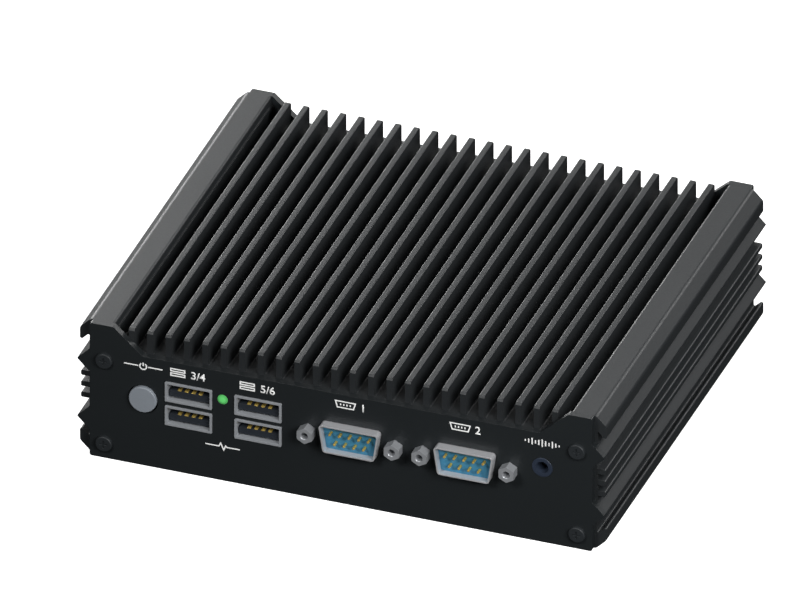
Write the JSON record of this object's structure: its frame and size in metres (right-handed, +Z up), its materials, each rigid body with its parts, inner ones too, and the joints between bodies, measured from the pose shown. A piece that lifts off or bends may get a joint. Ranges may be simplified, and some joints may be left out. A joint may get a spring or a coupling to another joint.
{
  "type": "fanless industrial computer",
  "caption": "Low black box computer in a finned aluminium extrusion, with hooked and ribbed sides, screwed end panels, ports in front and behind, and a push button.",
  "frame": {"origin": "middle of the underside", "axes": "+X to the right of the front panel, +Y from the front panel to the rear panel, +Z up"},
  "size_m": [0.1512, 0.1334, 0.042],
  "materials": {
    "anodised_black": "matte black anodised extrusion",
    "panel_black": "matte black anodised plate",
    "screw_black": "black oxide",
    "button_satin": "satin",
    "port_steel": "nickel plated sheet",
    "tongue_dark": "moulded",
    "contact_gold": "gold plated",
    "led_green": "clear moulded",
    "holder_black": "moulded",
    "connector_steel": "tin plated sheet",
    "insulator_blue": "moulded",
    "nickel": "nickel plated",
    "jack_navy": "moulded",
    "board_green": "solder mask",
    "chip_black": "moulded package",
    "pad_grey": "soft thermal pad",
    "spreader_bare": "milled",
    "spacer_brass": "turned",
    "cell_steel": "rolled can",
    "choke_grey": "pressed ferrite"
  },
  "bodies": {
    "chassis": {"enclosure_body": "anodised_black", "front_panel": "panel_black", "rear_panel": "panel_black", "front_panel_screws": "screw_black", "rear_panel_screws": "screw_black", "power_switch": "holder_black", "status_led": "led_green", "status_led_holder": "holder_black", "audio_jack": "jack_navy", "audio_contact": "nickel", "lan_shell": "port_steel", "lan_insert": "holder_black", "lan_contacts": "contact_gold", "dc_inlet_body": "holder_black", "dc_inlet_pin": "nickel", "main_board": "board_green", "processor": "chip_black", "thermal_pad": "pad_grey", "heat_spreader": "spreader_bare", "spreader_spacers": "spacer_brass", "spacer_screws": "nickel", "memory_socket": "holder_black", "memory_module": "board_green", "storage_socket": "holder_black", "storage_module": "board_green", "storage_spacer": "spacer_brass", "storage_screw": "nickel", "cell_holder": "holder_black", "clock_cell": "cell_steel", "power_chokes": "choke_grey", "usb_stack_a_shell": "port_steel", "usb_stack_a_core": "tongue_dark", "usb_stack_a_contacts": "contact_gold", "usb_stack_b_shell": "port_steel", "usb_stack_b_core": "tongue_dark", "usb_stack_b_contacts": "contact_gold", "usb_stack_rear_shell": "port_steel", "usb_stack_rear_core": "tongue_dark", "usb_stack_rear_contacts": "contact_gold", "com1_shell": "connector_steel", "com1_insulator": "insulator_blue", "com1_pins": "contact_gold", "com1_jackscrews": "nickel", "com2_shell": "connector_steel", "com2_insulator": "insulator_blue", "com2_pins": "contact_gold", "com2_jackscrews": "nickel", "video_shell": "connector_steel", "video_insulator": "insulator_blue", "video_contacts": "contact_gold", "video_jackscrews": "nickel"},
    "button": {"power_button": "button_satin"}
  },
  "joints": [
    {"name": "button_press", "type": "slide", "parent": "chassis", "child": "button", "axis": [0, 1, 0], "range_m": [0, 0.0008], "stiffness_N_per_m": 1500, "springref_m": -0.0003}
  ]
}
